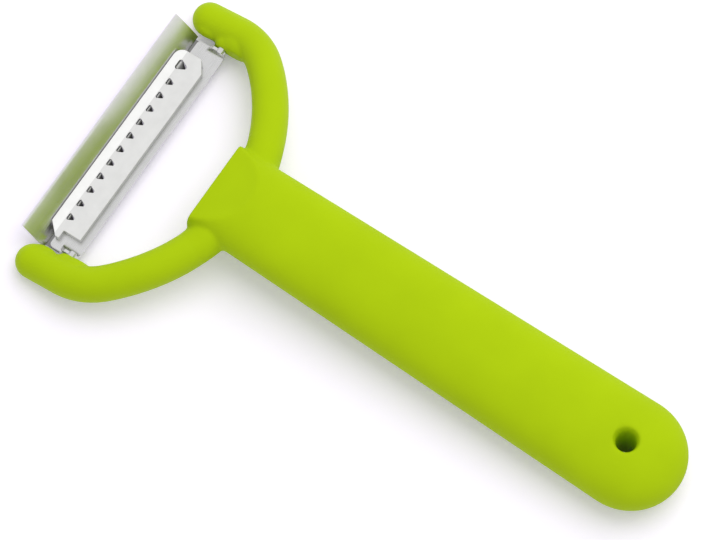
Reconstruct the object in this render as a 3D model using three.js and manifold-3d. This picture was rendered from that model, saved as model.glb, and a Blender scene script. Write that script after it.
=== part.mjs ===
// Julienne peeler: a soft-touch grip on a horseshoe yoke, whose arms carry a swivelling steel blade unit.
// Millimetres, +Z up, +Y from the grip's rear end towards the blade, +X to the right. The peeler lies on a
// table at Z = 0, on its grip's rear end and its two arm tips.

import * as THREE from "three";
import { mergeVertices } from "three/addons/utils/BufferGeometryUtils.js";
import Module from "manifold-3d";

// Grip
const gripLength = 123.4;
const gripWidthRear = 25.7;
const gripWidthFront = 21.8;
const gripThicknessRear = 15.4;
const gripEndLength = 13.2;
const gripSquareness = 2.3;
const gripOverhang = 4.6;
const gripLift = 0.5;
const facetEdgeHeight = 2.0;
const facetAngle = 24;
const hangHoleDiameter = 6;
const hangHoleInset = 13.9;

// Yoke
const armRootDiameter = 8.6;
const armTipDiameter = 7.5;
const armTipLength = 7.5;
const cornerRadius = 15;
const cornerAngle = 40;
const headReach = 30;
const headPitch = 13.5;
const bossDiameter = 4.4;
const bossLength = 7.2;
const bossHeight = 5.25;
const stopLength = 2.2;
const stopWidth = 1.4;
const tangLength = 92;
const tangWidth = 12;
const tangThickness = 4.5;
const tangOverlap = 3;

// Blade unit
const pivotSetback = 6.4;
const bladeTilt = 10;
const bladeSwing = 40;
const sheetThickness = 0.7;
const sheetDrop = 2.4;
const frameLength = 59.4;
const frameWidth = 7.3;
const frameRailWidth = 3.2;
const frameEndWidth = 4.6;
const earRadius = 1.6;
const plateEndInset = 4.2;
const plateRearInset = 1.8;
const plateWidth = 8.2;
const plateThickness = 0.6;
const plateRise = 1.6;
const plateCorner = 2.2;
const plateTongue = 2.1;
const toothPitch = 3.91;
const endToothPitch = 4.6;
const toothEndInset = 3.1;
const toothFarInset = 3.8;
const toothRowInset = 4.8;
const toothHoleSize = 2.1;
const toothLength = 2.6;
const endHoleGrowth = 1.3;
const slitWidth = 1.3;
const slicerOverhang = 0.5;
const slicerThickness = 0.6;
const slicerEdgeDrop = 2.6;
const slicerBandWidth = 1.85;
const slicerBandAngle = 22;
const slicerStripWidth = 6.4;
const slicerStripAngle = 52;
const slicerStripCurve = 14;
const slicerTabLength = 3.2;
const slicerTabWidth = 4.4;
const pinDiameter = 1.8;
const pinReach = 4;
const pinHeadDiameter = 2.6;
const pinHeadHeight = 0.7;

// Fits
const fitGap = 0.3;
const pinClearance = 0.1;
const restFlat = 0.35;

// Fineness of the round surfaces
const roundSides = 40;
const armSides = 24;
const armStep = 2.4;
const endSteps = 8;
const pinSides = 24;

const rad = THREE.MathUtils.degToRad;
const wasm = await Module();
wasm.setup();

// A closed three.js geometry as a solid that can be joined and cut.
function solid(geometry) {
  const bare = geometry.clone();
  bare.deleteAttribute("normal");
  bare.deleteAttribute("uv");
  const welded = mergeVertices(bare, 1e-5);
  const vertProperties = new Float32Array(welded.attributes.position.array);
  const triVerts = new Uint32Array(welded.index.array);
  return new wasm.Manifold(new wasm.Mesh({ numProp: 3, vertProperties, triVerts }));
}

function part(name, body, material) {
  const { vertProperties, triVerts } = body.getMesh();
  const geometry = new THREE.BufferGeometry();
  geometry.setAttribute("position", new THREE.BufferAttribute(vertProperties, 3));
  geometry.setIndex(new THREE.BufferAttribute(triVerts, 1));
  geometry.computeVertexNormals();
  const mesh = new THREE.Mesh(geometry, material);
  mesh.name = name;
  return mesh;
}

function box(x0, x1, y0, y1, z0, z1) {
  const geometry = new THREE.BoxGeometry(x1 - x0, y1 - y0, z1 - z0);
  geometry.translate((x0 + x1) / 2, (y0 + y1) / 2, (z0 + z1) / 2);
  return solid(geometry);
}

// A round bar along X between two places.
function barAlongX(x0, x1, radius, sides) {
  const geometry = new THREE.CylinderGeometry(radius, radius, Math.abs(x1 - x0), sides);
  geometry.rotateZ(Math.PI / 2);
  geometry.translate((x0 + x1) / 2, 0, 0);
  return solid(geometry);
}

// A flat outline in X and Y, raised from z0 to z1.
function raised(outline, z0, z1) {
  const shape = outline instanceof THREE.Shape ? outline : new THREE.Shape(outline);
  const geometry = new THREE.ExtrudeGeometry(shape, { depth: z1 - z0, bevelEnabled: false });
  geometry.translate(0, 0, z0);
  return solid(geometry);
}

// An outline in Y and Z, drawn out along X from x0 to x1.
function drawnAlongX(shape, x0, x1) {
  const options = { depth: x1 - x0, bevelEnabled: false, curveSegments: pinSides / 2 };
  const geometry = new THREE.ExtrudeGeometry(shape, options);
  geometry.applyMatrix4(new THREE.Matrix4().set(0, 0, 1, x0, 1, 0, 0, 0, 0, 1, 0, 0, 0, 0, 0, 1));
  return solid(geometry);
}

const joined = (bodies) => bodies.reduce((whole, body) => whole.add(body));
const bothSides = (body) => body.add(body.mirror([1, 0, 0]));
const vec2 = (x, y) => new THREE.Vector2(x, y);

// The posture on the table follows from the sizes: the arm tips set the neck's height, and the grip then
// leans back until its rear end touches the table too.
const armRootRadius = armRootDiameter / 2;
const armTipRadius = armTipDiameter / 2;
const neckHeight = headReach * Math.sin(rad(headPitch)) + armTipRadius - restFlat;
const gripRearReach = gripLength - gripOverhang - gripEndLength;
const gripRise = neckHeight + gripLift + restFlat - gripThicknessRear / 2;
const gripPitch = Math.asin(gripRise / gripRearReach);

const root = new THREE.Group();
const peeler = new THREE.Group();
const handleFrame = new THREE.Group();
const headFrame = new THREE.Group();
const bladeFrame = new THREE.Group();
root.add(peeler);
peeler.add(handleFrame, headFrame);
headFrame.add(bladeFrame);
handleFrame.position.z = neckHeight + gripLift;
handleFrame.rotation.x = gripPitch;
headFrame.position.z = neckHeight;
headFrame.rotation.x = -rad(headPitch);
bladeFrame.position.y = headReach - pivotSetback;
bladeFrame.rotation.x = rad(bladeTilt);
root.updateMatrixWorld(true);

const toHandle = handleFrame.matrixWorld.clone().invert();
const toHead = headFrame.matrixWorld.clone().invert();
const headToHandle = toHandle.clone().multiply(headFrame.matrixWorld);
const handleToHead = headToHandle.clone().invert();

const softGreen = new THREE.MeshStandardMaterial({ color: "#b2d00f", roughness: 0.6, metalness: 0 });
const moulded = new THREE.MeshStandardMaterial({ color: "#aecc0e", roughness: 0.55, metalness: 0 });
const satinSteel = new THREE.MeshStandardMaterial({ color: "#d5d5d2", roughness: 0.38, metalness: 1 });
const polishedSteel = new THREE.MeshStandardMaterial({ color: "#dcdcda", roughness: 0.12, metalness: 1 });

// What lies under the table, in a group's own frame: it leaves the small flats that the peeler rests on.
function belowTable(intoFrame) {
  const reach = 2 * gripLength;
  const geometry = new THREE.BoxGeometry(reach, reach, reach);
  geometry.translate(0, 0, -reach / 2);
  geometry.applyMatrix4(intoFrame);
  return solid(geometry);
}

// Yoke, in the head's frame: the neck is at the origin and the arms run forwards in the plane Z = 0.

const gripHalfFront = gripWidthFront / 2;
const rootInset = gripHalfFront - tangOverlap;
const frameHalf = frameLength / 2;
const bossFace = frameHalf + fitGap;
const armHalf = bossFace + bossHeight;
const cornerY = headReach - armTipLength;
const cornerTurn = rad(cornerAngle);
const cornerRun = cornerRadius * cornerTurn;
const wideTurn = Math.PI / 2 - cornerTurn;
const wideRadius = (armHalf - cornerRadius * (1 - Math.cos(cornerTurn))) / Math.sin(wideTurn);
const wideRun = wideRadius * wideTurn;
const armRun = wideRun + cornerRun + armTipLength;

// The middle line of the right-hand arm, by the distance from the middle of the horseshoe: half of one wide
// arc, a corner and a straight tip. The lean is the line's angle from straight ahead.
function armLine(distance) {
  if (distance < wideRun) {
    const angle = distance / wideRadius;
    const wideY = cornerY - cornerRadius * Math.sin(cornerTurn);
    const y = wideY - wideRadius * (Math.cos(angle) - Math.cos(wideTurn));
    return { x: wideRadius * Math.sin(angle), y, lean: Math.PI / 2 - angle };
  }
  if (distance < wideRun + cornerRun) {
    const lean = (wideRun + cornerRun - distance) / cornerRadius;
    return { x: armHalf - cornerRadius * (1 - Math.cos(lean)), y: cornerY - cornerRadius * Math.sin(lean), lean };
  }
  return { x: armHalf, y: headReach + distance - armRun, lean: 0 };
}

// The two arms, grown by a clearance where they stand for the room that they need. Each is a lathed bar that
// tapers to a round tip, bent along the arm's middle line.
function arms(grow) {
  const rootRadius = armRootRadius + grow;
  const tipRadius = armTipRadius + grow;
  const first = wideRadius * Math.asin((rootInset - grow) / wideRadius);
  const steps = Math.round((armRun - first) / armStep);
  const profile = [vec2(0, first)];
  for (let step = 0; step < steps; step += 1) {
    const share = step / steps;
    profile.push(vec2(rootRadius + (tipRadius - rootRadius) * share, first + (armRun - first) * share));
  }
  for (let step = 0; step <= endSteps; step += 1) {
    const angle = (step / endSteps) * (Math.PI / 2);
    profile.push(vec2(tipRadius * Math.cos(angle), armRun + tipRadius * Math.sin(angle)));
  }
  const geometry = new THREE.LatheGeometry(profile, armSides);
  const position = geometry.attributes.position;
  for (let i = 0; i < position.count; i += 1) {
    const offset = position.getX(i);
    const { x, y, lean } = armLine(position.getY(i));
    position.setX(i, x + offset * Math.cos(lean));
    position.setY(i, y - offset * Math.sin(lean));
  }
  return bothSides(solid(geometry));
}

// The flat web that joins the arm roots inside the grip, and the tang that runs back from it.
function web(grow) {
  const half = rootInset + tangOverlap / 2 + grow;
  const middle = armLine(0).y;
  const front = middle + armRootRadius - tangOverlap / 2 + grow;
  const back = middle - armRootRadius - grow;
  const tail = front - tangLength - 2 * grow;
  const side = tangWidth / 2 + grow;
  const outline = [
    vec2(-half, front), vec2(-half, back), vec2(-side, back - (half - side)),
    vec2(-side, tail + side / 2), vec2(-side / 2, tail), vec2(side / 2, tail), vec2(side, tail + side / 2),
    vec2(side, back - (half - side)), vec2(half, back), vec2(half, front),
  ];
  const depth = tangThickness / 2 + grow;
  return raised(outline, -depth, depth);
}

const placed = (body, matrix) => body.transform(matrix.elements);
const pivot = bladeFrame.position.y;

// The long pivot boss inside an arm tip, with the blade's axis at its front end, and the stop shelf under it.
// The shelf's roof has two slopes: the blade frame lies on the front one at rest and on the back one at the
// end of its swing.
function bosses() {
  const bossRadius = bossDiameter / 2;
  const pad = new THREE.Shape();
  pad.absarc(0, 0, bossRadius, -Math.PI / 2, Math.PI / 2);
  pad.absarc(bossDiameter - bossLength, 0, bossRadius, Math.PI / 2, 1.5 * Math.PI);
  const boss = drawnAlongX(pad, bossFace, armHalf);
  const ridge = (sheetDrop + fitGap) / Math.cos(rad(bladeSwing / 2));
  const ridgeAngle = rad(bladeTilt + bladeSwing / 2);
  const top = vec2(ridge * Math.sin(ridgeAngle), -ridge * Math.cos(ridgeAngle));
  const foot = -armTipRadius;
  const restAngle = rad(bladeTilt);
  const endAngle = rad(bladeTilt + bladeSwing);
  const front = vec2(top.x + stopLength * Math.cos(restAngle), top.y + stopLength * Math.sin(restAngle));
  const back = vec2(top.x + (foot - top.y) / Math.tan(endAngle), foot);
  const outline = new THREE.Shape([top, back, vec2(front.x, foot), front]);
  const shelf = drawnAlongX(outline, frameHalf - stopWidth, armHalf);
  const bore = barAlongX(0, bossFace + pinReach + fitGap, pinDiameter / 2 + pinClearance, pinSides);
  const atPivot = (body) => body.translate([0, pivot, 0]);
  return { added: bothSides(atPivot(boss.add(shelf))), bored: bothSides(atPivot(bore)) };
}

function yoke() {
  const { added, bored } = bosses();
  const body = joined([arms(0), placed(web(0), handleToHead), added]).subtract(bored);
  return part("yoke", body.subtract(belowTable(toHead)), moulded);
}

// Grip, in the handle's frame: the oval's middle line lies on Y, with the neck at the origin.
function grip() {
  const rear = gripOverhang - gripLength;
  const halfRear = gripWidthRear / 2;
  const profile = [];
  for (let step = 0; step <= endSteps; step += 1) {
    const angle = (step / endSteps) * (Math.PI / 2);
    profile.push(vec2(halfRear * Math.sin(angle), rear + gripEndLength * (1 - Math.cos(angle))));
  }
  profile.push(vec2(gripHalfFront, gripOverhang), vec2(0, gripOverhang));
  const geometry = new THREE.LatheGeometry(profile, roundSides);
  flattenToOval(geometry);
  const reach = gripLength;
  const facet = new THREE.BoxGeometry(reach, reach, reach);
  facet.translate(0, 0, reach / 2);
  facet.rotateX(-rad(facetAngle));
  facet.translate(0, gripOverhang, facetEdgeHeight);
  const holeRadius = hangHoleDiameter / 2;
  const hole = new THREE.CylinderGeometry(holeRadius, holeRadius, 2 * gripWidthRear, roundSides);
  hole.rotateX(Math.PI / 2 - gripPitch);
  hole.translate(0, rear + hangHoleInset, 0);
  const room = placed(arms(fitGap), headToHandle).add(web(fitGap));
  const body = solid(geometry).subtract(solid(facet)).subtract(solid(hole)).subtract(room);
  return part("grip", body.subtract(belowTable(toHandle)), softGreen);
}

// Turns the round sections of a lathed bar into full ovals of the grip's thickness.
function flattenToOval(geometry) {
  const flatness = gripThicknessRear / gripWidthRear;
  const fuller = (value) => Math.sign(value) * Math.abs(value) ** (2 / gripSquareness);
  const position = geometry.attributes.position;
  for (let i = 0; i < position.count; i += 1) {
    const x = position.getX(i);
    const z = position.getZ(i);
    const radius = Math.hypot(x, z) || 1;
    position.setX(i, radius * fuller(x / radius));
    position.setZ(i, radius * flatness * fuller(z / radius));
  }
}

// Blade unit, in its own frame: the swivel axis lies on X, and the steel sheet runs forwards below it.
const sheetBottom = -sheetDrop;
const sheetTop = sheetBottom + sheetThickness;
const earFace = frameHalf - sheetThickness;
const frameRear = -earRadius;
const frameFront = frameRear + frameWidth;

// The carrier: a rail along the back, an arm forwards at each end, and an ear turned up for each pin.
function bladeCarrier() {
  const inner = frameHalf - frameEndWidth;
  const railFront = frameRear + frameRailWidth;
  const outline = [
    vec2(-frameHalf, frameRear), vec2(frameHalf, frameRear), vec2(frameHalf, frameFront),
    vec2(inner, frameFront), vec2(inner, railFront), vec2(-inner, railFront),
    vec2(-inner, frameFront), vec2(-frameHalf, frameFront),
  ];
  const lug = new THREE.Shape();
  lug.moveTo(-earRadius, sheetBottom);
  lug.lineTo(earRadius, sheetBottom);
  lug.absarc(0, 0, earRadius, 0, Math.PI);
  const hole = barAlongX(inner, armHalf, pinDiameter / 2 + pinClearance, pinSides);
  const ear = drawnAlongX(lug, earFace, frameHalf).subtract(hole);
  return part("blade_frame", raised(outline, sheetBottom, sheetTop).add(bothSides(ear)), satinSteel);
}

const plateTop = sheetTop + plateRise;
const plateBottom = plateTop - plateThickness;
const plateHalf = frameHalf - plateEndInset;
const plateRear = frameRear + plateRearInset;
const plateFront = plateRear + plateWidth;
const toothRow = plateRear + toothRowInset;
const toothRun = 2 * plateHalf - toothEndInset - toothFarInset - endToothPitch;
const toothCount = Math.floor(toothRun / toothPitch) + 2;

// The toothed plate: a shallow pressed tray that stands on the carrier. Each tooth is a triangle bent down
// from the front edge of its hole.
function juliennePlate() {
  const tongue = -plateHalf - plateTongue;
  const outline = new THREE.Shape();
  outline.moveTo(-plateHalf, plateRear);
  outline.lineTo(plateHalf, plateRear);
  outline.absarc(plateHalf - plateCorner, plateFront - plateCorner, plateCorner, 0, Math.PI / 2);
  outline.lineTo(tongue + plateCorner, plateFront);
  outline.lineTo(tongue, plateFront - plateCorner);
  outline.lineTo(tongue, toothRow);
  outline.lineTo(-plateHalf, toothRow);
  const foot = sheetTop + fitGap;
  const tray = [raised(outline, plateBottom, plateTop)];
  tray.push(box(-plateHalf, plateHalf, plateRear, plateRear + plateThickness, foot, plateTop));
  const leg = box(plateHalf - plateThickness, plateHalf, plateRear, toothRow, foot, plateTop);
  tray.push(bothSides(leg));
  const holes = [];
  const teeth = [];
  for (let index = 0; index < toothCount; index += 1) {
    const isEnd = index === toothCount - 1;
    const x = toothEndInset - plateHalf + index * toothPitch + (isEnd ? endToothPitch - toothPitch : 0);
    const half = (toothHoleSize / 2) * (isEnd ? endHoleGrowth : 1);
    const front = toothRow + half;
    const hole = [vec2(x - half, front), vec2(x, toothRow - half), vec2(x + half, front)];
    holes.push(raised(hole, plateBottom - plateThickness, plateTop + plateThickness));
    const base = plateBottom + plateThickness / 2;
    const tip = new THREE.Shape([vec2(x - half, base), vec2(x, plateBottom - toothLength), vec2(x + half, base)]);
    const tooth = new THREE.ExtrudeGeometry(tip, { depth: plateThickness, bevelEnabled: false });
    tooth.rotateX(Math.PI / 2);
    tooth.translate(0, front + plateThickness / 2, 0);
    teeth.push(solid(tooth));
  }
  return part("julienne_plate", joined(tray).subtract(joined(holes)).add(joined(teeth)), satinSteel);
}

// The slicing blade: a sharpened band, then a concave strip that stands up in front of it. A tab at each end
// reaches back under the carrier.
function slicingBlade() {
  const heading = (angle, length) => vec2(length * Math.cos(rad(angle)), length * Math.sin(rad(angle)));
  const edge = frameFront + slitWidth;
  const upper = [vec2(edge, -slicerEdgeDrop)];
  upper.push(upper[0].clone().add(heading(slicerBandAngle, slicerBandWidth)));
  const steps = 6;
  const angleAt = (step) => slicerStripAngle + slicerStripCurve * ((step + 0.5) / steps - 0.5);
  for (let step = 0; step < steps; step += 1) {
    upper.push(upper.at(-1).clone().add(heading(angleAt(step), slicerStripWidth / steps)));
  }
  const below = (angle) => heading(angle - 90, slicerThickness);
  const lower = upper.map((point, i) => {
    const angle = i < 2 ? slicerBandAngle : angleAt(i - 2);
    return point.clone().add(below(angle));
  });
  lower[0] = upper[0].clone().add(vec2(0, -slicerThickness));
  const profile = new THREE.Shape([...lower, ...upper.reverse()]);
  const end = frameHalf + slicerOverhang;
  const strip = drawnAlongX(profile, -end, end);
  const tabTop = sheetBottom - fitGap;
  const inner = frameHalf - slicerTabWidth;
  const front = edge + slicerBandWidth / 2;
  const tab = box(inner, frameHalf, edge - slicerTabLength, front, tabTop - slicerThickness, tabTop);
  return part("slicing_blade", strip.add(bothSides(tab)), polishedSteel);
}

// A pivot pin: a turned stub with a low head inside the ear, reaching into the arm's boss.
function pivotPin(name, side) {
  const headRadius = pinHeadDiameter / 2;
  const radius = pinDiameter / 2;
  const headFace = earFace - fitGap;
  const head = headFace - pinHeadHeight;
  const end = bossFace + pinReach;
  const chamfer = radius / 4;
  const profile = [
    vec2(0, head), vec2(headRadius - chamfer, head), vec2(headRadius, head + chamfer), vec2(headRadius, headFace),
    vec2(radius, headFace), vec2(radius, end - chamfer), vec2(radius - chamfer, end), vec2(0, end),
  ];
  const geometry = new THREE.LatheGeometry(profile, pinSides);
  geometry.rotateZ(-side * Math.PI / 2);
  return part(name, solid(geometry), satinSteel);
}

handleFrame.add(grip());
headFrame.add(yoke());
bladeFrame.add(bladeCarrier(), juliennePlate(), slicingBlade());
bladeFrame.add(pivotPin("pivot_pin_left", -1), pivotPin("pivot_pin_right", 1));

// The origin is the middle of the part's footprint, on the table.
root.updateMatrixWorld(true);
const extent = new THREE.Box3().setFromObject(root, true);
const centre = extent.getCenter(new THREE.Vector3());
peeler.position.set(-centre.x, -centre.y, -extent.min.z);
root.updateMatrixWorld(true);

export default root;
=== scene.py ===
from math import cos, pi, radians, sin, sqrt, tan

import bmesh
import bpy
from mathutils import Matrix, Vector


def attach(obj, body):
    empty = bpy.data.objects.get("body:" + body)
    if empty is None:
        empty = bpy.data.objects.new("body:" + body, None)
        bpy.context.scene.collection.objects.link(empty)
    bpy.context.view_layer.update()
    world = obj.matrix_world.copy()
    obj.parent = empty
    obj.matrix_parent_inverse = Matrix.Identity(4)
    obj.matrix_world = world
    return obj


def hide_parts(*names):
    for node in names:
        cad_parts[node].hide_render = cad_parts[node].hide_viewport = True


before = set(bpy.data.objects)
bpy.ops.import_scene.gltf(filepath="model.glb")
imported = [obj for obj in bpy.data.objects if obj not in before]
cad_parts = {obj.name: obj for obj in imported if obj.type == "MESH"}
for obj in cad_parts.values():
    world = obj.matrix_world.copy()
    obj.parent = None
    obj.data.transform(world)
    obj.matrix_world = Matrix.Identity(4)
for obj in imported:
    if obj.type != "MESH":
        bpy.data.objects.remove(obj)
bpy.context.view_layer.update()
mm = 0.001

# Camera. A long lens looks down on the peeler from behind its left side, so the handle runs to the lower
# right of the picture and the blade lies at the upper left.
picture_width = 716
lens_pixels = 4930.9
camera_elevation = radians(70.456)
camera_heading = radians(33.758)
camera_distance = 1100 * mm
aim_right = -5.951 * mm
aim_up = 8.884 * mm
camera_right = Vector((sin(camera_heading), -cos(camera_heading), 0))
camera_level = Vector((cos(camera_heading), sin(camera_heading), 0))
camera_up = camera_level * sin(camera_elevation) + Vector((0, 0, cos(camera_elevation)))
camera_forward = camera_level * cos(camera_elevation) - Vector((0, 0, sin(camera_elevation)))
camera = bpy.data.objects.new("camera", bpy.data.cameras.new("camera"))
camera.data.sensor_width = 36
camera.data.lens = lens_pixels * camera.data.sensor_width / picture_width
camera.data.clip_start = 0.05
camera_turn = Matrix((camera_right, camera_up, -camera_forward)).transposed().to_4x4()
camera_place = camera_right * aim_right + camera_up * aim_up - camera_forward * camera_distance
camera.matrix_world = Matrix.Translation(camera_place) @ camera_turn
scene = bpy.context.scene
scene.collection.objects.link(camera)
scene.camera = camera
scene.view_settings.view_transform = "Standard"


# Studio. A white sheet on a table, a large soft lamp high on the peeler's right, and an even white tent
# around both. The sheet and the tent look white to the lens and in the steel, and the sheet keeps the
# shadow.
def feed(tree, kind, feeds=None, **settings):
    """Adds a node with these settings, and feeds its inputs with values or with other nodes' outputs."""
    node = tree.nodes.new(kind)
    for setting, value in settings.items():
        setattr(node, setting, value)
    for name, value in (feeds or {}).items():
        if isinstance(value, bpy.types.NodeSocket):
            tree.links.new(value, node.inputs[name])
        else:
            node.inputs[name].default_value = value
    return node


def calculate(tree, operation, *values):
    """One step of arithmetic in a node tree."""
    return feed(tree, "ShaderNodeMath", dict(enumerate(values)), operation=operation).outputs[0]


def seen_directly(tree):
    """1 for a ray from the lens, from polished steel or through glass, and 0 for scattered light."""
    path = feed(tree, "ShaderNodeLightPath").outputs
    mirrored = calculate(tree, "MAXIMUM", path["Is Glossy Ray"], path["Is Transmission Ray"])
    return calculate(tree, "MAXIMUM", path["Is Camera Ray"], mirrored)


def rectangle(left, right, near, far):
    """The four corners of a rectangle, in order."""
    return [(left, near), (right, near), (right, far), (left, far)]


white = (1, 1, 1, 1)
tent_light = 0.56
tent = bpy.data.worlds.new("white_tent")
tent.use_nodes = True
tent.node_tree.nodes.clear()
tent_scatter = feed(tent.node_tree, "ShaderNodeBackground", {"Color": white, "Strength": tent_light})
tent_shown = feed(tent.node_tree, "ShaderNodeBackground", {"Color": white, "Strength": 1})
tent_mix = feed(tent.node_tree, "ShaderNodeMixShader", {
    0: seen_directly(tent.node_tree), 1: tent_scatter.outputs[0], 2: tent_shown.outputs[0],
})
feed(tent.node_tree, "ShaderNodeOutputWorld", {"Surface": tent_mix.outputs[0]})
scene.world = tent

lamp = bpy.data.objects.new("soft_lamp", bpy.data.lights.new("soft_lamp", "AREA"))
lamp.data.size = 1.2
lamp.data.energy = 8.4
lamp.visible_glossy = False
lamp.location = (0.5, -0.05, 1.08)
lamp.rotation_mode = "QUATERNION"
lamp.rotation_quaternion = (-lamp.location).to_track_quat("-Z", "Y")
scene.collection.objects.link(lamp)

paper_colour = (0.965, 0.925, 0.995, 1)
paper_glow = 0.23
paper_glow_colour = (0.83, 0.79, 1, 1)
paper = bpy.data.materials.new("white_paper")
paper.use_nodes = True
paper.node_tree.nodes.clear()
paper_face = feed(paper.node_tree, "ShaderNodeBsdfDiffuse", {"Color": paper_colour})
paper_white = feed(paper.node_tree, "ShaderNodeEmission", {
    "Color": paper_glow_colour,
    "Strength": calculate(paper.node_tree, "MULTIPLY", seen_directly(paper.node_tree), paper_glow),
})
paper_both = feed(paper.node_tree, "ShaderNodeAddShader", {
    0: paper_face.outputs[0], 1: paper_white.outputs[0],
})
feed(paper.node_tree, "ShaderNodeOutputMaterial", {"Surface": paper_both.outputs[0]})
sheet_half = 1.5
sheet_outline = rectangle(-sheet_half, sheet_half, -sheet_half, sheet_half)
sheet_mesh = bpy.data.meshes.new("paper_sheet")
sheet_mesh.from_pydata([(x, y, 0) for x, y in sheet_outline], [], [(0, 1, 2, 3)])
sheet_mesh.materials.append(paper)
sheet = bpy.data.objects.new("paper_sheet", sheet_mesh)
scene.collection.objects.link(sheet)

# Yoke. A rigid horseshoe of round plastic bar, moulded in one shot with the tang that the grip is later
# moulded over. Each arm tapers a little to a full round tip. A soft swelling on its inner side carries
# the blade's pivot, with a small stop shelf below.
head_place = (0, 41.2421 * mm, 10.4034 * mm)
head_tilt = radians(-13.5)
head_frame = Matrix.Translation(head_place) @ Matrix.Rotation(head_tilt, 4, "X")
arm_half_span = 35.05 * mm
arm_root_radius = 4.3 * mm
arm_root_dip = 1.1 * mm
arm_rise_start = 10 * mm
arm_rise_run = 22 * mm
arm_tip_radius = 4 * mm
arm_tip_run = 8.1 * mm
arm_corner_y = 22.5 * mm
arm_corner_radius = 15 * mm
arm_corner_turn = radians(40)
arm_wide_turn = pi / 2 - arm_corner_turn
arm_wide_radius = (arm_half_span - arm_corner_radius * (1 - cos(arm_corner_turn))) / sin(arm_wide_turn)
arm_wide_run = arm_wide_radius * arm_wide_turn
arm_corner_run = arm_corner_radius * arm_corner_turn
arm_run = arm_wide_run + arm_corner_run + arm_tip_run


def arm_line(run):
    """A point on the right arm's middle line, in the head's frame, by its distance from the neck."""
    if run < arm_wide_run:
        angle = run / arm_wide_radius
        wide_y = arm_corner_y - arm_corner_radius * sin(arm_corner_turn)
        y = wide_y - arm_wide_radius * (cos(angle) - cos(arm_wide_turn))
        return arm_wide_radius * sin(angle), y
    if run < arm_wide_run + arm_corner_run:
        lean = (arm_wide_run + arm_corner_run - run) / arm_corner_radius
        x = arm_half_span - arm_corner_radius * (1 - cos(lean))
        return x, arm_corner_y - arm_corner_radius * sin(lean)
    return arm_half_span, arm_corner_y + run - arm_wide_run - arm_corner_run


def arm_drop(run):
    """The middle line's height there. The root dips, to leave the grip below the thumb facet."""
    share = min(max((run - arm_rise_start) / arm_rise_run, 0), 1)
    return -arm_root_dip * (1 - share * share * (3 - 2 * share))


def arm_radius(run):
    """The arm's radius there: a straight taper from the neck that ends in a round tip."""
    share = min(run, arm_run) / arm_run
    past = max(run - arm_run, 0) / arm_tip_radius
    return (arm_root_radius + (arm_tip_radius - arm_root_radius) * share) * sqrt(max(1 - past * past, 0))


def shown_piece(name, mesh):
    """A new object for a mesh, at the origin."""
    piece = bpy.data.objects.new(name, mesh)
    scene.collection.objects.link(piece)
    return piece


def bar_path(name, points):
    """A line in the head's frame for a swept bar to follow, through points (x, y, z, bar radius)."""
    mesh = bpy.data.meshes.new(name)
    steps = [(i, i + 1) for i in range(len(points) - 1)]
    mesh.from_pydata([head_frame @ Vector(point[:3]) for point in points], steps, [])
    thickness = mesh.attributes.new("bar_radius", "FLOAT", "POINT")
    thickness.data.foreach_set("value", [point[3] for point in points])
    return shown_piece(name, mesh)


def node_tree(name, sizes):
    """An empty node tree with a mesh input, these named size inputs and a material input."""
    tree = bpy.data.node_groups.new(name, "GeometryNodeTree")
    tree.interface.new_socket(name="Mesh", in_out="INPUT", socket_type="NodeSocketGeometry")
    for size, kind in sizes.items():
        tree.interface.new_socket(name=size, in_out="INPUT", socket_type="NodeSocket" + kind)
    tree.interface.new_socket(name="Finish", in_out="INPUT", socket_type="NodeSocketMaterial")
    tree.interface.new_socket(name="Mesh", in_out="OUTPUT", socket_type="NodeSocketGeometry")
    return tree, feed(tree, "NodeGroupInput").outputs


def close_tree(tree, mesh, inputs):
    """Ends a tree in plain geometry with its finish."""
    real = feed(tree, "GeometryNodeRealizeInstances", {"Geometry": mesh})
    dressed = feed(tree, "GeometryNodeSetMaterial", {
        "Geometry": real.outputs[0], "Material": inputs["Finish"],
    })
    feed(tree, "NodeGroupOutput", {"Mesh": dressed.outputs[0]})


def grow(piece, tree, values):
    """Lets a node tree shape a piece, with these values at its inputs, and keeps the plain mesh."""
    modifier = piece.modifiers.new(tree.name, "NODES")
    modifier.node_group = tree
    for socket in tree.interface.items_tree:
        if socket.name in values:
            modifier[socket.identifier] = values[socket.name]
    return settle(piece)


def settle(piece):
    """Turns a piece with its modifiers into one plain mesh."""
    depsgraph = bpy.context.evaluated_depsgraph_get()
    mesh = bpy.data.meshes.new_from_object(piece.evaluated_get(depsgraph))
    piece.modifiers.clear()
    piece.data = mesh
    return piece


def combine(piece, operation, *tools):
    """Joins tool shapes to a piece, cuts them out of it or keeps only what they share with it."""
    for tool in tools:
        step = piece.modifiers.new(operation, "BOOLEAN")
        step.operation = operation
        step.solver = "MANIFOLD"
        step.object = tool
    settle(piece)
    for tool in tools:
        bpy.data.objects.remove(tool)


def closed_mesh(name, shape, to_world):
    """A piece made of a bmesh, with its faces turned outwards, put in its place."""
    bmesh.ops.recalc_face_normals(shape, faces=shape.faces)
    shape.transform(to_world)
    mesh = bpy.data.meshes.new(name)
    shape.to_mesh(mesh)
    shape.free()
    return shown_piece(name, mesh)


def drawn_out(name, outline, start, end, axes, to_world=Matrix()):
    """A closed outline in two axes, drawn out along the third axis from start to end."""
    order = ["xyz".index(axis) for axis in axes]
    shape = bmesh.new()
    ends = []
    for depth in (start, end):
        ring = []
        for first, second in outline:
            place = [0, 0, 0]
            place[order[0]], place[order[1]], place[order[2]] = first, second, depth
            ring.append(shape.verts.new(place))
        ends.append(ring)
        shape.faces.new(ring)
    for i in range(len(outline)):
        after = (i + 1) % len(outline)
        shape.faces.new((ends[0][i], ends[0][after], ends[1][after], ends[1][i]))
    return closed_mesh(name, shape, to_world)


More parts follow.
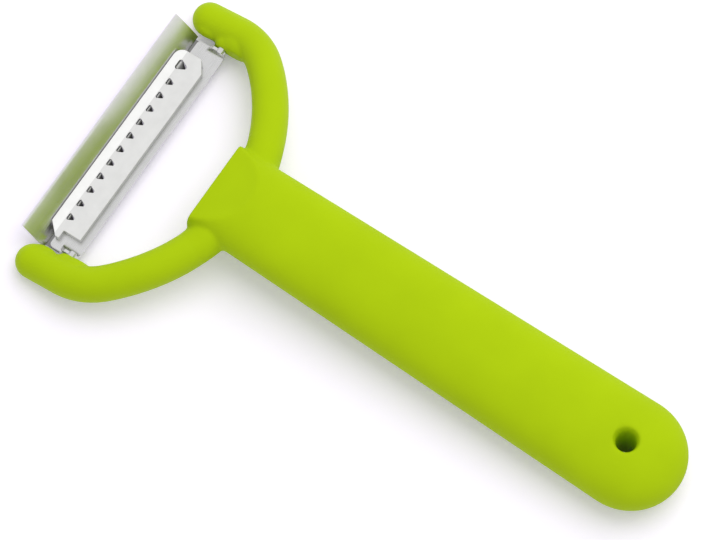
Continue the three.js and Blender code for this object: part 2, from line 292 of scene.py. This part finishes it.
def swelling(side, centre, radii):
    """A soft rounded lump in the head's frame, on the right arm or mirrored on the left one."""
    x, y, z = centre
    shape = bmesh.new()
    bmesh.ops.create_uvsphere(shape, u_segments=48, v_segments=32, radius=1)
    shape.transform(Matrix.Translation((side * x, y, z)) @ Matrix.Diagonal((*radii, 1)))
    return closed_mesh("swelling", shape, head_frame)


def arc(centre, radius, start, end, steps):
    """Points round part of a circle, with the angles in degrees."""
    angles = [radians(start + (end - start) * i / steps) for i in range(steps + 1)]
    return [(centre[0] + radius * cos(angle), centre[1] + radius * sin(angle)) for angle in angles]


def below_table():
    """What the table takes off the underside of a piece that lies on it."""
    reach = 100 * mm
    depth = 20 * mm
    clearance = 0.02 * mm
    return drawn_out("table", rectangle(-reach, reach, -reach, reach), -depth, clearance, "xyz")


def soften(piece, grain, rounds):
    """Rounds the edges of a moulding: an even skin of small faces, relaxed a few times."""
    skin = piece.modifiers.new("skin", "REMESH")
    skin.mode = "VOXEL"
    skin.voxel_size = grain
    skin.use_smooth_shade = True
    relaxed = piece.modifiers.new("relaxed", "SMOOTH")
    relaxed.factor = 0.5
    relaxed.iterations = rounds
    settle(piece)


def dress(piece, material):
    """Gives every face of a piece the same material."""
    piece.data.materials.clear()
    piece.data.materials.append(material)
    piece.data.polygons.foreach_set("material_index", [0] * len(piece.data.polygons))


# A noise value lies between these nearly everywhere.
noise_low = 0.3
noise_high = 0.7


def shade_between(tree, noise, colour, darker, lighter):
    """A colour that wanders between a darker and a lighter tone of itself as a noise value does."""
    shade = feed(tree, "ShaderNodeValToRGB", {"Fac": noise})
    low, high = shade.color_ramp.elements
    low.position = noise_low
    high.position = noise_high
    low.color = (*[min(part * darker, 1) for part in colour], 1)
    high.color = (*[min(part * lighter, 1) for part in colour], 1)
    return shade.outputs[0]


def ramp(tree, value, start, end, low, high):
    """A value that goes from low to high while another one goes from start to end."""
    feeds = {"Value": value, "From Min": start, "From Max": end, "To Min": low, "To Max": high}
    return feed(tree, "ShaderNodeMapRange", feeds).outputs[0]


def green_moulding(name, colour, roughness, grain_depth):
    """Green plastic with faint flow clouds and a fine spark-eroded grain that also varies its gloss."""
    gloss_change = 0.06
    material = bpy.data.materials.new(name)
    material.use_nodes = True
    tree = material.node_tree
    skin = tree.nodes["Principled BSDF"]
    where = feed(tree, "ShaderNodeTexCoord").outputs["Object"]
    cloud = feed(tree, "ShaderNodeTexNoise", {"Vector": where, "Scale": 70, "Detail": 3}).outputs[0]
    grain = feed(tree, "ShaderNodeTexNoise", {"Vector": where, "Scale": 2600, "Detail": 2}).outputs[0]
    bump = feed(tree, "ShaderNodeBump", {"Strength": 0.5, "Distance": grain_depth, "Height": grain})
    base = shade_between(tree, cloud, colour, darker=0.97, lighter=1.03)
    gloss = ramp(tree, grain, noise_low, noise_high, roughness - gloss_change, roughness + gloss_change)
    tree.links.new(base, skin.inputs["Base Color"])
    tree.links.new(gloss, skin.inputs["Roughness"])
    tree.links.new(bump.outputs[0], skin.inputs["Normal"])
    skin.inputs["Specular IOR Level"].default_value = 0.1
    return material


bar_sides = 56
bar_tree, bar_inputs = node_tree("swept_bar", {"Bar Sides": "Int"})
bar_line = feed(bar_tree, "GeometryNodeMeshToCurve", {"Mesh": bar_inputs["Mesh"]})
bar_round = feed(bar_tree, "GeometryNodeCurvePrimitiveCircle", {
    "Resolution": bar_inputs["Bar Sides"], "Radius": 1,
})
bar_size = feed(bar_tree, "GeometryNodeInputNamedAttribute", {"Name": "bar_radius"}, data_type="FLOAT")
bar_swept = feed(bar_tree, "GeometryNodeCurveToMesh", {
    "Curve": bar_line.outputs[0], "Profile Curve": bar_round.outputs[0],
    "Scale": bar_size.outputs[0], "Fill Caps": True,
})
close_tree(bar_tree, bar_swept.outputs[0], bar_inputs)

fresh_green = (0.445, 0.63, 0.003)
yoke_green = green_moulding("yoke_green_plastic", fresh_green, roughness=0.5, grain_depth=0.01 * mm)
arm_steps = 90
tip_steps = 14
tip_turn = 0.98 * pi / 2
arm_runs = [arm_run * i / arm_steps for i in range(arm_steps)]
arm_runs += [arm_run + arm_tip_radius * sin(tip_turn * i / tip_steps) for i in range(tip_steps + 1)]
right_arm = [(*arm_line(run), arm_drop(run), arm_radius(run)) for run in arm_runs]
left_arm = [(-x, *rest) for x, *rest in reversed(right_arm[1:])]
yoke = bar_path("horseshoe_yoke", left_arm + right_arm)
grow(yoke, bar_tree, {"Bar Sides": bar_sides, "Finish": yoke_green})

pivot_y = 23.6 * mm
pivot_swelling_centre = (34 * mm, 20.6 * mm, -0.2 * mm)
pivot_swelling_radii = (4.6 * mm, 6.4 * mm, 3.6 * mm)
pin_boss_centre = (34 * mm, pivot_y, 0)
pin_boss_radii = (4.6 * mm, 3.4 * mm, 2.8 * mm)
tip_swelling_centre = (33.3 * mm, 29 * mm, 0.6 * mm)
tip_swelling_radii = (2.7 * mm, 4.4 * mm, 2.2 * mm)
pad_face = 30 * mm
clear_front = 60 * mm
clear_half_height = 10 * mm
clear_outline = rectangle(-pad_face, pad_face, 0, clear_front)
shelf_inside = 28.4 * mm
shelf_foot = -3.75 * mm
shelf_top = (pivot_y + 1.437 * mm, -2.488 * mm)
shelf_front = (shelf_top[0] + 2.167 * mm, shelf_top[1] + 0.382 * mm)
shelf_rear_foot = (shelf_top[0] - 1.059 * mm, shelf_foot)
shelf_outline = [shelf_top, shelf_rear_foot, (shelf_front[0], shelf_foot), shelf_front]
for side in (1, -1):
    pivot_swelling = swelling(side, pivot_swelling_centre, pivot_swelling_radii)
    combine(pivot_swelling, "UNION", swelling(side, pin_boss_centre, pin_boss_radii))
    clear = drawn_out("clear", clear_outline, -clear_half_height, clear_half_height, "xyz", head_frame)
    combine(pivot_swelling, "DIFFERENCE", clear)
    tip_swelling = swelling(side, tip_swelling_centre, tip_swelling_radii)
    shelf_ends = (side * shelf_inside, side * arm_half_span)
    shelf = drawn_out("shelf", shelf_outline, *shelf_ends, "yzx", head_frame)
    combine(yoke, "UNION", pivot_swelling, tip_swelling, shelf)
combine(yoke, "DIFFERENCE", below_table())
soften(yoke, grain=0.3 * mm, rounds=10)
dress(yoke, yoke_green)
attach(yoke, "handle")
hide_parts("yoke")

# Grip. A soft-touch rubber handle moulded over the yoke's tang, oval in section and a little wider
# towards its round rear end. It has a flat thumb facet over the neck, a tapered hanging hole through its
# end, and a short collar where each arm leaves it.
handle_place = (0, 41.2421 * mm, 10.9034 * mm)
handle_tilt = 0.0336556
handle_frame = Matrix.Translation(handle_place) @ Matrix.Rotation(handle_tilt, 4, "X")
grip_rear = -118.8 * mm
grip_length = 123.4 * mm
grip_front = grip_rear + grip_length
facet_height = 3 * mm
facet_slope = tan(radians(20))
facet_reach = 60 * mm
facet_overrun = 5 * mm
facet_half_width = 20 * mm
hole_place = (0, -63.2 * mm)
hole_low_radius = 1.45 * mm
hole_high_radius = 2.6 * mm
hole_depth = 22 * mm
hole_top = 17 * mm
lip_low_radius = 2.5 * mm
lip_high_radius = 3.3 * mm
lip_depth = 1.8 * mm
lip_top = 15.5 * mm
collar_start = 5 * mm
collar_length = 15 * mm
collar_swell = 0.35 * mm
collar_fade = 1.5
collar_steps = 24

grip_tree, grip_inputs = node_tree("oval_grip", {
    "Rear": "Float", "Length": "Float", "Half Rear": "Float", "Half Front": "Float",
    "End Length": "Float", "Flatness": "Float", "Squareness": "Float", "Rings": "Int", "Sides": "Int",
})


def grip_sum(operation, *values):
    """One step of the rule that the grip's shape follows."""
    return calculate(grip_tree, operation, *values)


# These two keep the rear end from closing to a point and a radius from being zero.
least_square = 0.0001
least_radius = 0.001 * mm
grip_axis = feed(grip_tree, "GeometryNodeCurvePrimitiveLine")
grip_rings = feed(grip_tree, "GeometryNodeResampleCurve", {
    "Curve": grip_axis.outputs[0], "Count": grip_inputs["Rings"],
})
ring_index = feed(grip_tree, "GeometryNodeInputIndex").outputs[0]
ring_share = grip_sum("DIVIDE", ring_index, grip_sum("SUBTRACT", grip_inputs["Rings"], 1))
ring_distance = grip_sum("MULTIPLY", grip_inputs["Length"], grip_sum("POWER", ring_share, 2))
end_share = grip_sum("MINIMUM", grip_sum("DIVIDE", ring_distance, grip_inputs["End Length"]), 1)
end_left = grip_sum("POWER", grip_sum("SUBTRACT", 1, end_share), 2)
end_round = grip_sum("SQRT", grip_sum("MAXIMUM", grip_sum("SUBTRACT", 1, end_left), least_square))
past_end = grip_sum("MAXIMUM", grip_sum("SUBTRACT", ring_distance, grip_inputs["End Length"]), 0)
taper_length = grip_sum("SUBTRACT", grip_inputs["Length"], grip_inputs["End Length"])
taper = grip_sum("DIVIDE", past_end, taper_length)
narrowing = grip_sum("SUBTRACT", grip_inputs["Half Front"], grip_inputs["Half Rear"])
end_half = grip_sum("MULTIPLY", grip_inputs["Half Rear"], end_round)
ring_half = grip_sum("ADD", end_half, grip_sum("MULTIPLY", narrowing, taper))
ring_y = grip_sum("ADD", grip_inputs["Rear"], ring_distance)
ring_place = feed(grip_tree, "ShaderNodeCombineXYZ", {"Y": ring_y}).outputs[0]
grip_line = feed(grip_tree, "GeometryNodeSetPosition", {
    "Geometry": grip_rings.outputs[0], "Position": ring_place,
})
grip_round = feed(grip_tree, "GeometryNodeCurvePrimitiveCircle", {
    "Resolution": grip_inputs["Sides"], "Radius": 1,
})
grip_lathed = feed(grip_tree, "GeometryNodeCurveToMesh", {
    "Curve": grip_line.outputs[0], "Profile Curve": grip_round.outputs[0],
    "Scale": ring_half, "Fill Caps": True,
})
lathed_place = feed(grip_tree, "GeometryNodeInputPosition").outputs[0]
lathed_x, lathed_y, lathed_z = feed(grip_tree, "ShaderNodeSeparateXYZ", {0: lathed_place}).outputs
lathed_square = grip_sum("ADD", grip_sum("POWER", lathed_x, 2), grip_sum("POWER", lathed_z, 2))
lathed_radius = grip_sum("MAXIMUM", grip_sum("SQRT", lathed_square), least_radius)
fullness = grip_sum("DIVIDE", 2, grip_inputs["Squareness"])


def fuller(side):
    """Pushes one side of a round section out towards a fuller oval."""
    share = grip_sum("POWER", grip_sum("ABSOLUTE", grip_sum("DIVIDE", side, lathed_radius)), fullness)
    return grip_sum("MULTIPLY", grip_sum("MULTIPLY", share, grip_sum("SIGN", side)), lathed_radius)


oval_height = grip_sum("MULTIPLY", fuller(lathed_z), grip_inputs["Flatness"])
oval_place = feed(grip_tree, "ShaderNodeCombineXYZ", {
    "X": fuller(lathed_x), "Y": lathed_y, "Z": oval_height,
})
grip_oval = feed(grip_tree, "GeometryNodeSetPosition", {
    "Geometry": grip_lathed.outputs[0], "Position": oval_place.outputs[0],
})
close_tree(grip_tree, grip_oval.outputs[0], grip_inputs)

grip_green = green_moulding("grip_green_rubber", fresh_green, roughness=0.62, grain_depth=0.014 * mm)
grip = shown_piece("soft_grip", bpy.data.meshes.new("soft_grip"))
grow(grip, grip_tree, {
    "Rear": grip_rear, "Length": grip_length, "Half Rear": 12.85 * mm, "Half Front": 10.9 * mm,
    "End Length": 13.2 * mm, "Flatness": 0.5992, "Squareness": 2.3, "Rings": 240, "Sides": 128,
    "Finish": grip_green,
})
grip_shape = bmesh.new()
grip_shape.from_mesh(grip.data)
bmesh.ops.recalc_face_normals(grip_shape, faces=grip_shape.faces)
grip_shape.transform(handle_frame)
grip_shape.to_mesh(grip.data)
grip_shape.free()

facet_front = grip_front + facet_overrun
facet_rear = grip_front - facet_reach
facet_outline = [
    (facet_front, facet_height - facet_overrun * facet_slope), (facet_front, facet_reach),
    (facet_rear, facet_reach), (facet_rear, facet_height + facet_reach * facet_slope),
]
facet = drawn_out("facet", facet_outline, -facet_half_width, facet_half_width, "yzx", handle_frame)


def hole_core(low_radius, high_radius, depth, top):
    """The tapered core pin that leaves a hole, upright over the hole's place."""
    shape = bmesh.new()
    bmesh.ops.create_cone(
        shape, cap_ends=True, segments=64, radius1=low_radius, radius2=high_radius, depth=depth,
    )
    return closed_mesh("core", shape, Matrix.Translation((*hole_place, top - depth / 2)))


hole = hole_core(hole_low_radius, hole_high_radius, hole_depth, hole_top)
lip = hole_core(lip_low_radius, lip_high_radius, lip_depth, lip_top)
combine(grip, "DIFFERENCE", facet, hole, lip)
for side in (1, -1):
    collar_line = []
    for step in range(collar_steps + 1):
        run = collar_start + collar_length * step / collar_steps
        x, y = arm_line(run)
        swell = collar_swell * (1 - collar_fade * step / collar_steps)
        collar_line.append((side * x, y, arm_drop(run), arm_radius(run) + swell))
    collar = bar_path("collar", collar_line)
    grow(collar, bar_tree, {"Bar Sides": bar_sides, "Finish": grip_green})
    combine(grip, "UNION", collar)
combine(grip, "DIFFERENCE", below_table())
soften(grip, grain=0.36 * mm, rounds=10)
dress(grip, grip_green)
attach(grip, "handle")
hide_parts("grip")

# Blade carrier. Stamped from 0.7 mm stainless sheet: a rail along the back, an arm forwards at each end,
# and an ear curled up at each end of the rail for the pivot pin.
blade_place = (0, 64.19 * mm, 4.894 * mm)
blade_tilt = radians(-3.5)
blade_frame = Matrix.Translation(blade_place) @ Matrix.Rotation(blade_tilt, 4, "X")
carrier_half = 29.7 * mm
carrier_thickness = 0.7 * mm
carrier_bottom = -2.4 * mm
carrier_top = carrier_bottom + carrier_thickness
carrier_front = 6.3 * mm
carrier_end_width = 5.2 * mm
carrier_corner = 0.9 * mm
rail_rear = -1.15 * mm
ear_radius = 1.6 * mm
ear_foot = 3.4 * mm
ear_curl = 2.6 * mm
ear_low = carrier_bottom - 1 * mm
ear_shoulder = carrier_top + 0.4 * mm
ear_round_start = 35
ear_reach = 32 * mm
window_half = carrier_half - carrier_end_width
window_front = carrier_front + 1 * mm
window_depth = 4 * mm


def steel(name, colour, roughness, strokes_across, stroke_depth, painted_shading=None):
    """Stainless steel with fine lengthwise strokes that vary its gloss, faint clouds and painted sheen
    and shade.
    """
    stroke_length = 60
    gloss_change = 0.08
    material = bpy.data.materials.new(name)
    material.use_nodes = True
    tree = material.node_tree
    skin = tree.nodes["Principled BSDF"]
    where = feed(tree, "ShaderNodeTexCoord").outputs["Object"]
    stretch = (strokes_across / stroke_length, strokes_across, strokes_across)
    along = feed(tree, "ShaderNodeMapping", {"Vector": where, "Scale": stretch}).outputs[0]
    strokes = feed(tree, "ShaderNodeTexNoise", {"Vector": along, "Scale": 1, "Detail": 4}).outputs[0]
    cloud = feed(tree, "ShaderNodeTexNoise", {"Vector": where, "Scale": 400, "Detail": 4}).outputs[0]
    bump = feed(tree, "ShaderNodeBump", {"Strength": 0.4, "Distance": stroke_depth, "Height": strokes})
    base = shade_between(tree, cloud, colour, darker=0.97, lighter=1.03)
    # Painted light and shade: the base colour is scaled brighter or darker by place.
    if painted_shading:
        painted_feeds = {"Vector": base, "Scale": painted_shading(tree, where)}
        base = feed(tree, "ShaderNodeVectorMath", painted_feeds, operation="SCALE").outputs[0]
    glossiest = roughness * (1 - gloss_change)
    dullest = roughness * (1 + gloss_change)
    gloss = ramp(tree, strokes, noise_low, noise_high, glossiest, dullest)
    tree.links.new(base, skin.inputs["Base Color"])
    tree.links.new(gloss, skin.inputs["Roughness"])
    tree.links.new(bump.outputs[0], skin.inputs["Normal"])
    skin.inputs["Metallic"].default_value = 1
    return material


def break_edges(piece, width):
    """Takes the sharpness off the edges of a metal piece and keeps its flat faces flat to the light."""
    piece.data.shade_smooth()
    edge = piece.modifiers.new("broken_edges", "BEVEL")
    edge.width = width
    edge.segments = 2
    edge.limit_method = "ANGLE"
    edge.angle_limit = radians(30)
    flat = piece.modifiers.new("flat_faces", "WEIGHTED_NORMAL")
    flat.weight = 80
    settle(piece)


carrier_steel = steel(
    "carrier_steel", colour=(0.64, 0.64, 0.64), roughness=0.28,
    strokes_across=4000, stroke_depth=0.003 * mm,
)
curl_centre = (carrier_half - ear_curl, carrier_bottom + ear_curl)
rail_outside = arc(curl_centre, ear_curl, -90, 0, steps=24)
rail_inside = arc(curl_centre, ear_curl - carrier_thickness, 0, -90, steps=24)
rail_right = rail_outside + rail_inside
rail_outline = rail_right + [(-x, z) for x, z in reversed(rail_right)]
carrier = drawn_out("blade_carrier", rail_outline, rail_rear, ear_foot, "xzy", blade_frame)
ear_outline = [(-ear_radius, ear_low), (ear_foot, ear_low), (ear_foot, ear_shoulder)]
ear_outline += arc((0, 0), ear_radius, ear_round_start, 180, steps=14)
ears = drawn_out("ears", ear_outline, -ear_reach, ear_reach, "yzx", blade_frame)
combine(carrier, "INTERSECT", ears)
corner_centre = (carrier_half - carrier_corner, carrier_front - carrier_corner)
ends_right = [(carrier_half, 0)] + arc(corner_centre, carrier_corner, 0, 90, steps=8)
ends_outline = ends_right + [(-x, y) for x, y in reversed(ends_right)]
ends = drawn_out("ends", ends_outline, carrier_bottom, carrier_top, "xyz", blade_frame)
combine(carrier, "UNION", ends)
window_outline = rectangle(-window_half, window_half, ear_radius, window_front)
window = drawn_out("window", window_outline, -window_depth, 0, "xyz", blade_frame)
combine(carrier, "DIFFERENCE", window)
break_edges(carrier, width=0.1 * mm)
dress(carrier, carrier_steel)
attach(carrier, "blade")
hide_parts("blade_frame")

# Julienne plate. A shallow tray pressed from 0.6 mm sheet and spot-welded on the carrier. Twelve
# triangles are punched in a row and bent down as teeth, the last one larger, and the band in front of
# them is polished.
plate_half = 25.5 * mm
plate_rear = 0.5 * mm
plate_front = 8.7 * mm
plate_top = -0.1 * mm
plate_bottom = -0.7 * mm
plate_middle = (plate_top + plate_bottom) / 2
plate_foot = -1.65 * mm
plate_wall = plate_top - plate_bottom
plate_corner = 2.2 * mm
plate_tongue = -27.6 * mm
tongue_corner = 2.8 * mm
slant_start = plate_half - 3 * mm
slant_front = plate_rear + 2.1 * mm
wall_top = plate_bottom + 0.1 * mm
wall_inside = plate_rear + plate_wall
leg_front = 5 * mm
leg_inside = plate_half - plate_wall
tooth_row = 5.2 * mm
tooth_size = 2.1 * mm
tooth_radius = tooth_size / sqrt(3)
tooth_stretch = 1.155
tooth_middle = tooth_size / 6
tooth_first = -22.1 * mm
tooth_pitch = 3.91 * mm
tooth_bend = radians(50)
end_tooth = 21.8 * mm
end_growth = 1.5
# The punch's height and the teeth's sink count in sheet thicknesses, and the teeth's fit in punch sizes.
punch_height = 4
tooth_sink = 0.3
tooth_fit = (0.92, 0.95, 0.2)
# The painted sheen and shade change between these places, seen from the pivot or from the tooth row.
polish_start = 6.3 * mm
polish_full = 6.5 * mm
polish_sheen_tone = 1.24
tooth_shade_height = -0.6 * mm
shade_end_height = -0.2 * mm
tooth_shade_tone = 0.25
row_half = 22 * mm
# Away from the tooth row the faces below the top get a lighter painted shade.
side_shade_start = 2.5 * mm
side_shade_full = 2.7 * mm
side_shade_tone = 0.85

plate_round = (plate_half - plate_corner, plate_front - plate_corner)
plate_outline = [(-plate_half, plate_rear), (slant_start, plate_rear), (plate_half, slant_front)]
plate_outline += arc(plate_round, plate_corner, 0, 90, steps=10)
plate_outline += [
    (plate_tongue + tongue_corner, plate_front), (plate_tongue, plate_front - tongue_corner),
    (plate_tongue, leg_front), (-plate_half, leg_front),
]
plate = drawn_out("toothed_plate", plate_outline, plate_bottom, plate_top, "xyz")
back_wall = rectangle(-plate_half, slant_start, plate_rear, wall_inside)
left_leg = rectangle(-plate_half, -leg_inside, plate_rear, leg_front)
right_leg = [
    (slant_start - plate_wall, plate_rear), (slant_start, plate_rear), (plate_half, slant_front),
    (plate_half, leg_front), (leg_inside, leg_front), (leg_inside, slant_front + plate_wall / 2),
    (slant_start - plate_wall, wall_inside),
]
tongue_leg = rectangle(plate_tongue, -leg_inside, leg_front, leg_front + plate_wall)
walls = []
for wall_outline in (back_wall, left_leg, right_leg, tongue_leg):
    walls.append(drawn_out("wall", wall_outline, plate_foot, wall_top, "xyz"))
combine(plate, "UNION", *walls)

comb_tree, comb_inputs = node_tree("tooth_row", {
    "First Tooth": "Vector", "Pitch": "Vector", "Teeth": "Int", "End Tooth": "Vector",
    "End Growth": "Vector", "Tooth Radius": "Float", "Tooth Stretch": "Vector", "Base Line": "Float",
    "Corner Radius": "Float", "Sheet": "Float", "Bend": "Rotation",
})


def comb_node(kind, feeds, **settings):
    """One step in punching the tooth row."""
    return feed(comb_tree, "GeometryNode" + kind, feeds, **settings).outputs[0]


def comb_offset(axis, size, times):
    """A move along one axis by a multiple of a size."""
    distance = calculate(comb_tree, "MULTIPLY", size, times)
    return feed(comb_tree, "ShaderNodeCombineXYZ", {axis: distance}).outputs[0]


def comb_join(*shapes):
    """Several shapes as one."""
    joined = feed(comb_tree, "GeometryNodeJoinGeometry")
    for shape in shapes:
        comb_tree.links.new(shape, joined.inputs[0])
    return joined.outputs[0]


def comb_repeat(shape):
    """A shape at every place of the row, larger at the last one."""
    row = comb_node("InstanceOnPoints", {"Points": comb_places, "Instance": shape})
    last = comb_node("InstanceOnPoints", {
        "Points": comb_end, "Instance": shape, "Scale": comb_inputs["End Growth"],
    })
    return comb_node("RealizeInstances", {"Geometry": comb_join(row, last)})


comb_places = comb_node("MeshLine", {
    "Count": comb_inputs["Teeth"], "Start Location": comb_inputs["First Tooth"],
    "Offset": comb_inputs["Pitch"],
})
comb_end = comb_node("MeshLine", {"Count": 1, "Start Location": comb_inputs["End Tooth"]})
comb_triangle = comb_node("CurvePrimitiveCircle", {
    "Resolution": 3, "Radius": comb_inputs["Tooth Radius"],
})
comb_turned = comb_node("Transform", {
    "Geometry": comb_triangle, "Rotation": (0, 0, -pi / 2), "Scale": comb_inputs["Tooth Stretch"],
})
comb_rounded = feed(comb_tree, "GeometryNodeFilletCurve", {
    "Curve": comb_turned, "Radius": comb_inputs["Corner Radius"], "Limit Radius": True,
}, mode="POLY")
comb_rounded.inputs["Count"].default_value = 6
comb_face = comb_node("FillCurve", {"Curve": comb_rounded.outputs[0]}, mode="NGONS")
comb_raised = comb_node("ExtrudeMesh", {
    "Mesh": comb_face, "Offset": comb_offset("Z", comb_inputs["Sheet"], punch_height),
    "Offset Scale": 1, "Individual": False,
})
comb_under = comb_node("FlipFaces", {"Mesh": comb_face})
comb_punch = comb_node("MergeByDistance", {
    "Geometry": comb_join(comb_under, comb_raised), "Distance": 0.01 * mm,
})
comb_cutter = comb_node("Transform", {
    "Geometry": comb_punch, "Translation": comb_offset("Z", comb_inputs["Sheet"], -punch_height / 2),
})
comb_punched = comb_node("MeshBoolean", {
    "Mesh 1": comb_inputs["Mesh"], "Mesh 2": comb_repeat(comb_cutter),
}, operation="DIFFERENCE", solver="EXACT")
comb_hinged = comb_node("Transform", {
    "Geometry": comb_punch, "Translation": comb_offset("Y", comb_inputs["Base Line"], -tooth_fit[1]),
    "Scale": tooth_fit,
})
comb_bent = comb_node("Transform", {"Geometry": comb_hinged, "Rotation": comb_inputs["Bend"]})
comb_back = comb_node("Transform", {
    "Geometry": comb_bent, "Translation": comb_offset("Y", comb_inputs["Base Line"], 1),
})
comb_tooth = comb_node("Transform", {
    "Geometry": comb_back, "Translation": comb_offset("Z", comb_inputs["Sheet"], -tooth_sink),
})
close_tree(comb_tree, comb_join(comb_punched, comb_repeat(comb_tooth)), comb_inputs)


def in_blade_frame(tree, where):
    """A place on the blade as its distance across, forwards and upwards from the pivot."""
    placed = feed(tree, "ShaderNodeMapping", {
        "Vector": where, "Location": blade_frame.translation, "Rotation": blade_frame.to_euler(),
    }, vector_type="TEXTURE")
    return feed(tree, "ShaderNodeSeparateXYZ", {0: placed.outputs[0]}).outputs


def plate_painted_light(tree, where):
    """Painted sheen on the polished band, and painted shade on the teeth and the faces below the top."""
    across, forwards, upwards = in_blade_frame(tree, where)
    band_sheen = ramp(tree, forwards, polish_start, polish_full, 1, polish_sheen_tone)
    tooth_shade = ramp(tree, upwards, tooth_shade_height, shade_end_height, tooth_shade_tone, 1)
    behind_row = calculate(tree, "SUBTRACT", tooth_row, forwards)
    past_row = calculate(tree, "SUBTRACT", calculate(tree, "ABSOLUTE", across), row_half)
    from_row = calculate(tree, "MAXIMUM", behind_row, past_row)
    side_shade = ramp(tree, from_row, side_shade_start, side_shade_full, 0, side_shade_tone)
    return calculate(tree, "MULTIPLY", band_sheen, calculate(tree, "MAXIMUM", tooth_shade, side_shade))


# The plate's steel carries the painted sheen and shade.
plate_steel = steel(
    "plate_steel", colour=(0.77, 0.77, 0.76), roughness=0.34,
    strokes_across=5200, stroke_depth=0.004 * mm, painted_shading=plate_painted_light,
)
grow(plate, comb_tree, {
    "First Tooth": (tooth_first, tooth_row + tooth_middle, plate_middle),
    "Pitch": (tooth_pitch, 0, 0), "Teeth": 11,
    "End Tooth": (end_tooth, tooth_row + tooth_middle * end_growth, plate_middle),
    "End Growth": (end_growth, end_growth, 1),
    "Tooth Radius": tooth_radius, "Tooth Stretch": (tooth_stretch, 1, 1),
    "Base Line": tooth_radius * tooth_stretch / 2, "Corner Radius": 0.35 * mm,
    "Sheet": plate_wall, "Bend": (tooth_bend, 0, 0), "Finish": plate_steel,
})
plate.data.transform(blade_frame)
break_edges(plate, width=0.08 * mm)
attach(plate, "blade")
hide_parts("julienne_plate")

# Slicing blade. A strip of polished spring steel in front of the slit. Its rear edge is ground sharp, and
# from there it stands up, slightly rounded and twisted, to an upper edge that rolls outwards. A tab at
# each end is welded under the carrier.
slicer_edge = Vector((7.27 * mm, -2.6 * mm))
slicer_edge_thickness = 0.12 * mm
slicer_band = 2.5 * mm
slicer_band_angle = 51
slicer_strip = 5.63 * mm
slicer_strip_angle = 50.3
slicer_strip_curve = -3
slicer_roll = -8
slicer_roll_start = 0.9
slicer_twist = -2.8
slicer_thickness = 0.6 * mm
slicer_half = 30.6 * mm
slicer_steps = 20
slicer_stations = 24
tab_rear = 3.8 * mm
tab_front = 7.9 * mm
tab_top = carrier_bottom - 0.3 * mm
tab_inside = carrier_half - 4.4 * mm
# The strip's colour is painted darker below these heights, as shade in the slot under the carrier.
slot_shade_height = -2.6 * mm
slot_shade_end = -2.5 * mm
slot_shade_tone = 0.3


def slicer_slot_shade(tree, where):
    """Painted shade, darker low on the strip and on its tabs, down in the slot under the carrier."""
    upwards = in_blade_frame(tree, where)[2]
    return ramp(tree, upwards, slot_shade_height, slot_shade_end, slot_shade_tone, 1)


def heading(angle, length):
    """A step of this length at this slope, in degrees."""
    return Vector((length * cos(radians(angle)), length * sin(radians(angle))))


def slicer_section(share):
    """The strip's closed section at a share of its length from the left end."""
    upper = [slicer_edge, slicer_edge + heading(slicer_band_angle, slicer_band)]
    slopes = [slicer_band_angle, slicer_band_angle]
    for step in range(slicer_steps):
        height = (step + 0.5) / slicer_steps
        slope = slicer_strip_angle + slicer_strip_curve * (height - 0.5)
        slope += slicer_roll * max(height - slicer_roll_start, 0) / (1 - slicer_roll_start)
        slope += slicer_twist * (2 * share - 1)
        upper.append(upper[-1] + heading(slope, slicer_strip / slicer_steps))
        slopes.append(slope)
    lower = [point + heading(slope - 90, slicer_thickness) for point, slope in zip(upper, slopes)]
    lower[0] = upper[0] + Vector((0, -slicer_edge_thickness))
    return lower + upper[::-1]


slicer_shape = bmesh.new()
slicer_rings = []
for station in range(slicer_stations + 1):
    share = station / slicer_stations
    x = slicer_half * (2 * share - 1)
    slicer_rings.append([slicer_shape.verts.new((x, y, z)) for y, z in slicer_section(share)])
for ring, after in zip(slicer_rings, slicer_rings[1:]):
    for i in range(len(ring)):
        slicer_shape.faces.new((ring[i - 1], ring[i], after[i], after[i - 1]))
slicer_shape.faces.new(slicer_rings[0])
slicer_shape.faces.new(slicer_rings[-1])
slicer = closed_mesh("slicing_strip", slicer_shape, blade_frame)
tab_outline = rectangle(tab_rear, tab_front, tab_top - slicer_thickness, tab_top)
tabs = []
for side in (1, -1):
    tab_ends = (side * tab_inside, side * carrier_half)
    tabs.append(drawn_out("tab", tab_outline, *tab_ends, "yzx", blade_frame))
combine(slicer, "UNION", *tabs)
polished_steel = steel(
    "polished_steel", colour=(0.72, 0.72, 0.71), roughness=0.25,
    strokes_across=2600, stroke_depth=0.0004 * mm, painted_shading=slicer_slot_shade,
)
break_edges(slicer, width=0.05 * mm)
dress(slicer, polished_steel)
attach(slicer, "blade")
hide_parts("slicing_blade")

# Pivot pins. Two turned stubs of stainless wire, each riveted flush in an ear with a low dome inside, and
# turning in the swelling of its arm.
pin_radius = 0.9 * mm
pin_dome_start = 28.5 * mm
pin_dome_end = 28.9 * mm
pin_end = 34 * mm
pin_chamfer = 0.2 * mm
pin_dome_steps = 6
pin_steps = 28
pin_profile = [(0, pin_dome_start)]
for step in range(1, pin_dome_steps + 1):
    angle = pi / 2 * step / pin_dome_steps
    dome = (pin_dome_end - pin_dome_start) * (1 - cos(angle))
    pin_profile.append((pin_radius * sin(angle), pin_dome_start + dome))
pin_profile += [(pin_radius, pin_end - pin_chamfer), (pin_radius - pin_chamfer, pin_end), (0, pin_end)]
pins_shape = bmesh.new()
for side in (1, -1):
    line = [pins_shape.verts.new((side * x, radius, 0)) for radius, x in pin_profile]
    edges = [pins_shape.edges.new(pair) for pair in zip(line, line[1:])]
    bmesh.ops.spin(
        pins_shape, geom=line + edges, cent=(0, 0, 0), axis=(1, 0, 0), angle=2 * pi, steps=pin_steps,
    )
bmesh.ops.remove_doubles(pins_shape, verts=pins_shape.verts, dist=0.001 * mm)
pins = closed_mesh("pivot_pins", pins_shape, blade_frame)
dress(pins, carrier_steel)
pins.data.shade_smooth()
pins.data.set_sharp_from_angle(angle=radians(40))
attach(pins, "blade")
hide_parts("pivot_pin_left", "pivot_pin_right")
